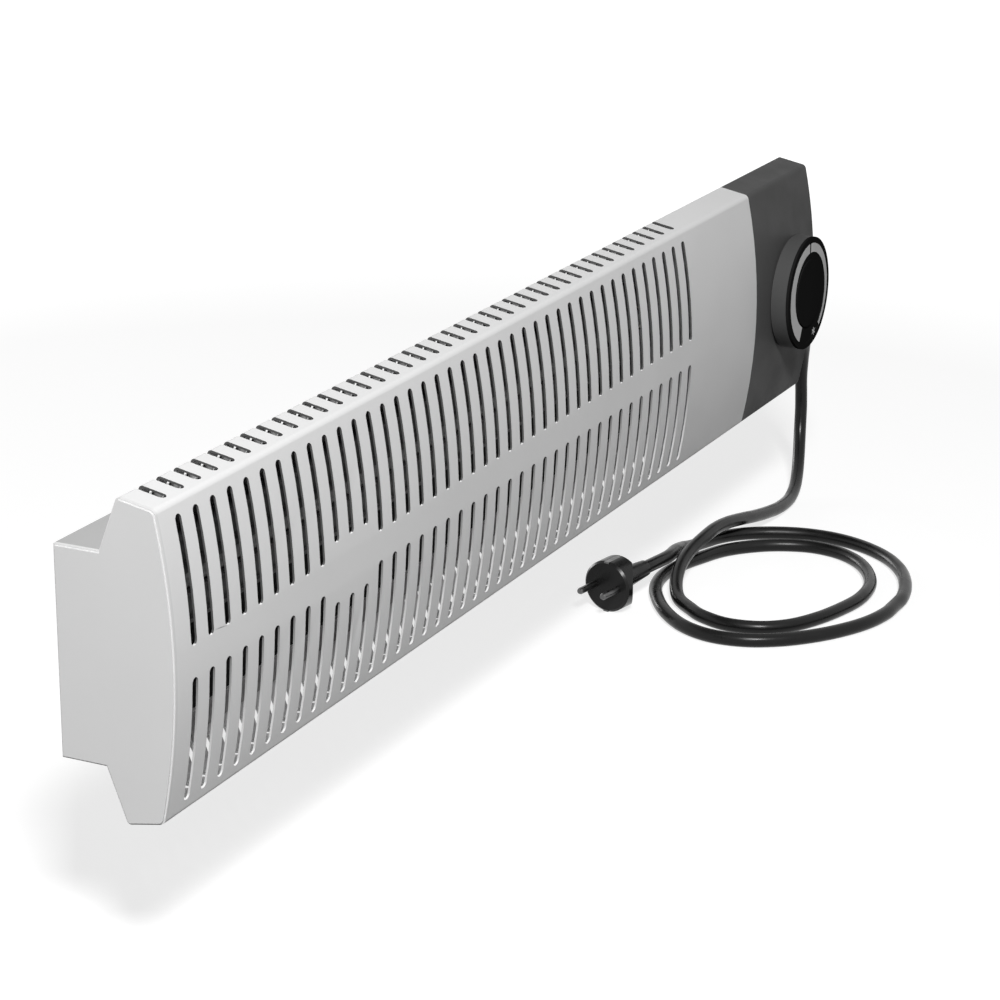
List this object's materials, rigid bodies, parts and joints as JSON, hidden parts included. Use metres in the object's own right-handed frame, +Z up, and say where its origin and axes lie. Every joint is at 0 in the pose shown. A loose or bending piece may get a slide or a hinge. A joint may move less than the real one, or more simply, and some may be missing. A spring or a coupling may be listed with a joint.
{
  "type": "frost protection heater",
  "caption": "Slim wall convector heater: slotted curved grille on a folded casing, dark control end with a turning thermostat knob, and a mains cord with plug.",
  "frame": {"origin": "on the wall plane, at the centre of the rectangle of the four wall screws, at mid-length and mid-height of the heater", "axes": "+X along the heater's length towards the control end, +Y into the wall, +Z up; the front faces -Y"},
  "size_m": [0.9832, 0.2154, 0.2732],
  "materials": {
    "light_enamel": "satin light grey enamel",
    "grey_enamel": "satin grey enamel",
    "light_plastic": "matt light grey",
    "dark_plastic": "satin dark grey",
    "plated_steel": "zinc plated",
    "galvanised_steel": "galvanised",
    "grey_steel": "dull grey sheath",
    "black_rubber": "semi-gloss black",
    "ceramic": "unglazed ceramic",
    "black_aluminium": "black anodised",
    "black_enamel": "matt black",
    "brown_plastic": "matt brown",
    "black_plastic": "satin black",
    "knob_grey": "satin dark grey",
    "wedge_grey": "printed mid grey",
    "white_plastic": "natural white",
    "brass": "plain",
    "core_sleeves": "three coloured sleeves",
    "brown_sleeve": "brown sleeve",
    "blue_sleeve": "blue sleeve",
    "green_yellow_sleeve": "green and yellow sleeve",
    "nickel": "nickel plated"
  },
  "bodies": {
    "heater": {"front_grille": "light_enamel", "rear_casing": "grey_enamel", "left_end_cap": "light_plastic", "control_housing": "dark_plastic", "grille_screws": "plated_steel", "end_screws": "plated_steel", "partition_plate": "galvanised_steel", "partition_screws": "plated_steel", "wire_grommet": "black_rubber", "element_bracket": "galvanised_steel", "bracket_screws": "plated_steel", "rod_bushes": "ceramic", "heating_rod": "grey_steel", "rod_insulators": "ceramic", "rod_terminals": "plated_steel", "element_profile": "black_aluminium", "heat_shield": "black_enamel", "thermal_cutout": "brown_plastic", "thermostat_body": "black_plastic", "thermostat_screws": "plated_steel", "terminal_block": "white_plastic", "terminal_screws": "brass", "earth_screw": "brass", "cord_gland": "black_rubber", "cord_clamp": "black_plastic", "clamp_screws": "plated_steel", "cord_tail": "black_rubber", "cord_cores": "core_sleeves", "live_wires": "brown_sleeve", "neutral_wire": "blue_sleeve", "earth_wire": "green_yellow_sleeve", "wall_brackets": "galvanised_steel", "power_cord": "black_rubber", "plug_body": "black_rubber", "plug_pins": "nickel", "plug_earth_strips": "nickel"},
    "knob": {"thermostat_shaft": "plated_steel", "knob_body": "knob_grey", "knob_face": "black_plastic", "temperature_wedge": "wedge_grey"}
  },
  "joints": [
    {"name": "thermostat_turn", "type": "hinge", "parent": "heater", "child": "knob", "pos_m": [0.4033, -0.0758, 0], "axis": [0, 1, 0], "range_deg": [-145, 145]}
  ]
}
